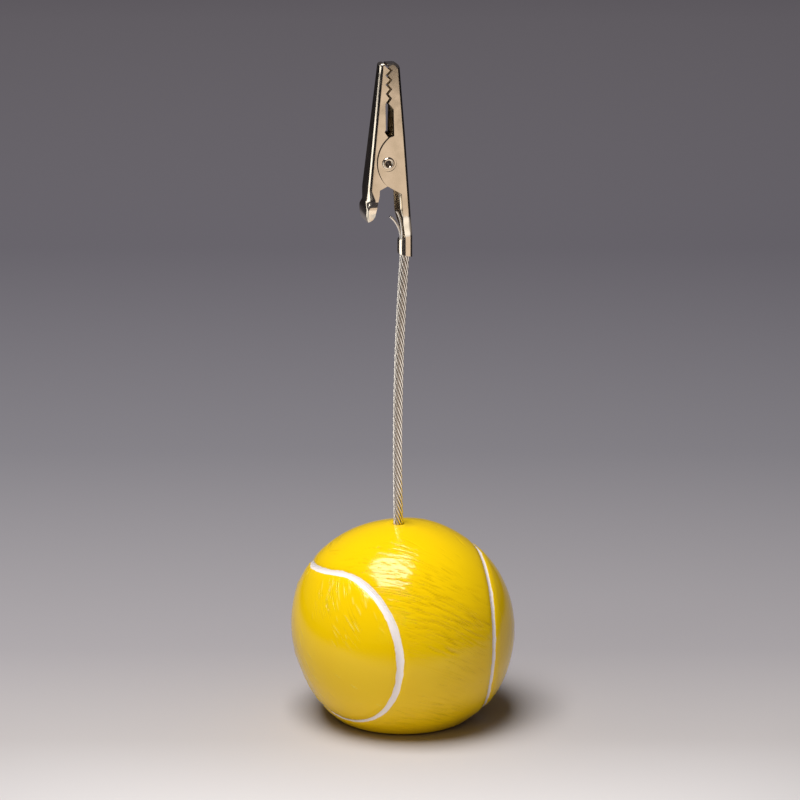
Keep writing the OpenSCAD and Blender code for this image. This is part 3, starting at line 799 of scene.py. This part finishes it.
# The neck narrows from the tail's width to the barrel's, while its walls begin to curl in.
t = np.linspace(0, 1, neck_steps)[1:]
t = mix(t, smooth(t), neck_ease)
neck_z = np.linspace(neck_top, neck_low, neck_steps)[1:]
neck_back = mix(right_back(neck_top), barrel_at + barrel_d / 2, t)
neck_w = mix(outer_width(neck_top), barrel_d, t)
neck_edge = neck_back - mix(tail_wall, barrel_d / 2, t)

# The barrel: within its first few hundredths the wings curl up round the strand. Their ends slope,
# so the wings' edges sit lower than the back at the top, and higher at the bottom.
curled = 0.035
share = np.concatenate([np.linspace(0, curled, 10)[1:],
                        [0.1, 0.18, 0.26, 0.4, 0.52, 0.66, 0.8, 0.9, 1.0]])
barrel_z = neck_low - share * barrel_len
drop = np.interp(share, [0, 0.012, 0.024, curled, 0.26, 0.52, 0.8, 1],
                 [0, 0.32, 0.33, 0.32, 0.1, 0, -0.15, -0.35])
wing_curl = np.radians(np.interp(share, [0, 0.012, 0.024, curled], [10, 35, 58, 80]))
fixed_rows = np.vstack([
    stations(jaw_up, nose_edge[0], nose_edge[0], nose_w, nose_tip_fold, edge_z=nose_edge[1])[None],
    stations(back_z, back_x, edge_x, outer_width(back_z),
             mix(nose_fold, fold_r, np.linspace(0, 1, 10)),
             edge_z=edge_z, edge_width=outer_width(edge_z)),
    stations(corner_z, right_back(corner_z), corner_x + tooth_gap / 2, outer_width(corner_z)),
    stations(slot_z, right_back(slot_z), slot_x, outer_width(slot_z)),
    stations(ear_z, right_back(ear_z), ear_x, outer_width(ear_z)),
    stations(below_z, right_back(below_z), below_x, outer_width(below_z)),
    stations(tail_z, right_back(tail_z), right_back(tail_z) - tail_wall, outer_width(tail_z)),
    stations(neck_z, neck_back, neck_edge, neck_w, mix(fold_r, barrel_fold, t), wing_start * t),
    stations(barrel_z, barrel_at + barrel_d / 2, barrel_at - wing_gap, barrel_d, barrel_fold,
             wing_curl, edge_z=barrel_z - drop)])
fixed = folded_sheet("fixed_jaw_sheet", fixed_rows, nickel)
cut_and_break_edges(fixed, [drum("shank_hole", shank_r, -drill_y, drill_y),
                            drum("near_seat", seat_r, -drill_y, -seat_y),
                            drum("far_seat", seat_r, seat_y, drill_y)], broken_edge)
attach(fixed, "stand")
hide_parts("fixed_jaw")
metal_pieces.objects.link(fixed)


# Moving jaw
# The other half of the clip, stamped and plated in the same way. Its round ears turn on the rivet
# inside the fixed jaw's, and below them it runs out to a thumb tab: a gutter that deepens to its
# waist, flares to a lip and narrows to a tip that curls in.
left_nose_r, left_nose_corner, left_tip_fold, ear_hole = 0.6, 0.4, 0.35, 0.95
inner_ear_r, inner_ear_low, tab_top, tab_waist, tab_lip = 3.1, -4.65, -5.4, -7.6, -8.9
tip_z, tip_r, tip_turn, tip_w, tip_reach = -10.0, 3.85, 27.0, 5.3, 1.75
tip_wall, waist_depth, lip_flare = 0.7, 1.15, 0.5
slot_notch, slot_close = 0.26, 0.55
moving_slot_z = np.array([slot_top + 0.7, slot_mid, 6.6, 6.1, 4.95])
moving_slot_x = slot_left + np.array([0, 0, 0, -slot_notch, slot_close])


def left_back(z):
    """The moving jaw's back: straight, then a parabola that brings it upright above its tip."""
    ease, lean, at_pivot = 2.0, 0.113, -3.46
    start = tip_z + ease
    drop = (ease ** 2 - np.maximum(z - tip_z, 0) ** 2) / (2 * ease)
    return np.where(z > start, at_pivot + lean * z, at_pivot + lean * start - lean * drop)


def bent(z, at, values):
    """Straight runs between the given heights and values, with each corner eased over a few
    tenths of a millimetre by averaging five neighbours."""
    return np.mean([np.interp(z + step, at, values) for step in (-0.2, -0.1, 0.0, 0.1, 0.2)], axis=0)


def tab_width(z):
    """Width over the thumb tab's walls."""
    lip_w = inner_width(tab_lip) + lip_flare
    return bent(z, [tip_z - tip_reach, tab_lip, tab_waist, tab_top],
                [tip_w, lip_w, inner_width(tab_waist), inner_width(tab_top)])


# The nose and the teeth, which stand in the gaps between the fixed jaw's.
a = np.linspace(0, math.pi / 2, 8)
t = np.linspace(0, 1, 9)[1:]
nose_back = np.array([left_back(jaw_up - left_nose_r) + left_nose_r, jaw_up - left_nose_r])
nose_edge = np.array([nose_split - tooth_gap / 2, jaw_up - left_nose_corner])
first_tooth = np.array([tooth_mid(0) - tooth_gap / 2, tooth_top])
back_x, back_z = nose_back[0] - left_nose_r * np.sin(a), nose_back[1] + left_nose_r * np.cos(a)
edge_x, edge_z = mix(nose_edge[0], first_tooth[0], t), mix(nose_edge[1], first_tooth[1], t)

# The ear, the thumb tab's gutter, and its tip, which curls in round a circle of tip_r.
ear_a = np.radians(np.linspace(64, -64, 24))
ear_z, ear_x = inner_ear_r * np.sin(ear_a), inner_ear_r * np.cos(ear_a)
below_z = np.array([inner_ear_low, mix(inner_ear_low, tab_top, 0.5), tab_top])
below_x = np.array([-0.1, -0.9, -1.7])
tab_z = np.linspace(tab_top, tip_z, 26)[1:-1]
tab_x = bent(tab_z, [tip_z, -6.6, tab_top], [-2.63, -1.77, -1.7])
tab_fold = bent(tab_z, [tab_lip, tab_waist, tab_top], [0.5, 1.9, fold_r])
t = np.sin(np.linspace(0, math.pi / 2, 16))
tip_a = np.radians(180 + tip_turn * t)
tip_x = left_back(tip_z) + tip_r
tip_back = tip_z + tip_r * np.sin(tip_a)
tip_depth = tip_wall + waist_depth * np.sqrt(1 - t ** 2.5)
moving_rows = np.vstack([
    stations(jaw_up, nose_edge[0], nose_edge[0], nose_w, left_tip_fold, edge_z=nose_edge[1])[None],
    stations(back_z, back_x, edge_x, inner_width(back_z),
             mix(nose_fold, fold_r, np.linspace(0, 1, 8)),
             edge_z=edge_z, edge_width=inner_width(edge_z)),
    stations(corner_z, left_back(corner_z), corner_x - tooth_gap / 2, inner_width(corner_z)),
    stations(moving_slot_z, left_back(moving_slot_z), moving_slot_x, inner_width(moving_slot_z)),
    stations(ear_z, left_back(ear_z), ear_x, inner_width(ear_z)),
    stations(below_z, left_back(below_z), below_x, inner_width(below_z)),
    stations(tab_z, left_back(tab_z), tab_x, tab_width(tab_z), tab_fold),
    stations(tip_back, tip_x + tip_r * np.cos(tip_a), tip_x + (tip_r - tip_depth) * np.cos(tip_a),
             tab_width(tip_back), 0.5, edge_z=tip_z + (tip_r - tip_depth) * np.sin(tip_a))])
moving = folded_sheet("moving_jaw_sheet", moving_rows, nickel)
cut_and_break_edges(moving, [drum("ear_holes", ear_hole, -drill_y, drill_y)], broken_edge)
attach(moving, "jaw")
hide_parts("moving_jaw")
metal_pieces.objects.link(moving)


# Pivot rivet
# A short steel tube through all four ears, rolled over at both ends into smooth rings that sit in
# seats coined into the outer ears.
eye_r, roll_r, roll_lift = 0.55, 0.33, 0.1
roll_a = np.linspace(math.radians(-18), math.radians(180), 22)
roll_y = seat_y + roll_lift + roll_r * np.sin(roll_a)
roll = np.stack([shank_r + roll_r * np.cos(roll_a), roll_y], axis=-1)
eye = [[eye_r, seat_y], [eye_r, 0.6 * seat_y], [eye_r, 0.2 * seat_y]]
half = np.vstack([[shank_r, seat_y], roll, eye])
shank = [[shank_r, -0.3 * seat_y], [shank_r, 0.3 * seat_y]]
profile = np.vstack([half, half[::-1] * [1, -1], shank])
a = np.linspace(0, 2 * math.pi, 72, endpoint=False)
rivet_grid = np.stack([profile[:, :1] * np.cos(a), profile[:, 1:] + 0 * a,
                       profile[:, :1] * np.sin(a)], axis=-1)
rivet = surface("rolled_rivet", pivot + rivet_grid, "ring", nickel)
rivet.data.set_sharp_from_angle(angle=math.radians(40))
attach(rivet, "stand")
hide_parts("pivot_rivet")
metal_pieces.objects.link(rivet)


# Torsion spring
# Three coils of music wire round the rivet, with a leg down the back of each jaw's tail, which
# press the tails apart and the noses together.
spring_r, coil_r, coil_turns, coil_pitch = 0.225, 1.45, 3, 0.48
leg_lean, leg, spring_sides, coil_rings = 16.4, 7.6, 12, 140
turn_from, turn_to = math.radians(leg_lean), math.radians(180 - leg_lean + 360 * coil_turns)
half_coil = coil_pitch * (turn_to - turn_from) / (4 * math.pi)
a = np.linspace(turn_from, turn_to, coil_rings)
coil_y = np.linspace(half_coil, -half_coil, coil_rings)
coil = np.stack([coil_r * np.cos(a), coil_y, coil_r * np.sin(a)], axis=-1)
reach = np.linspace(1, 0, 12, endpoint=False)[:, None] * leg
lean = math.radians(leg_lean)
right_leg = coil[0] + reach * np.array([math.sin(lean), 0, -math.cos(lean)])
left_leg = coil[-1] + reach[::-1] * np.array([-math.sin(lean), 0, -math.cos(lean)])

# Music wire, drawn hard and left bare: darker and duller than the plate, so the coil stays quiet
# behind the ears.
music_wire = steel("music_wire", ("#9C968B", "#7E786E"), 0.28, 0.1, 0.003)
spring_route = pivot + np.vstack([right_leg, coil, left_leg])
spring = round_wire("coil_spring", spring_route, spring_r, spring_sides, music_wire)
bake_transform(spring)
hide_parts("torsion_spring")
metal_pieces.objects.link(spring)
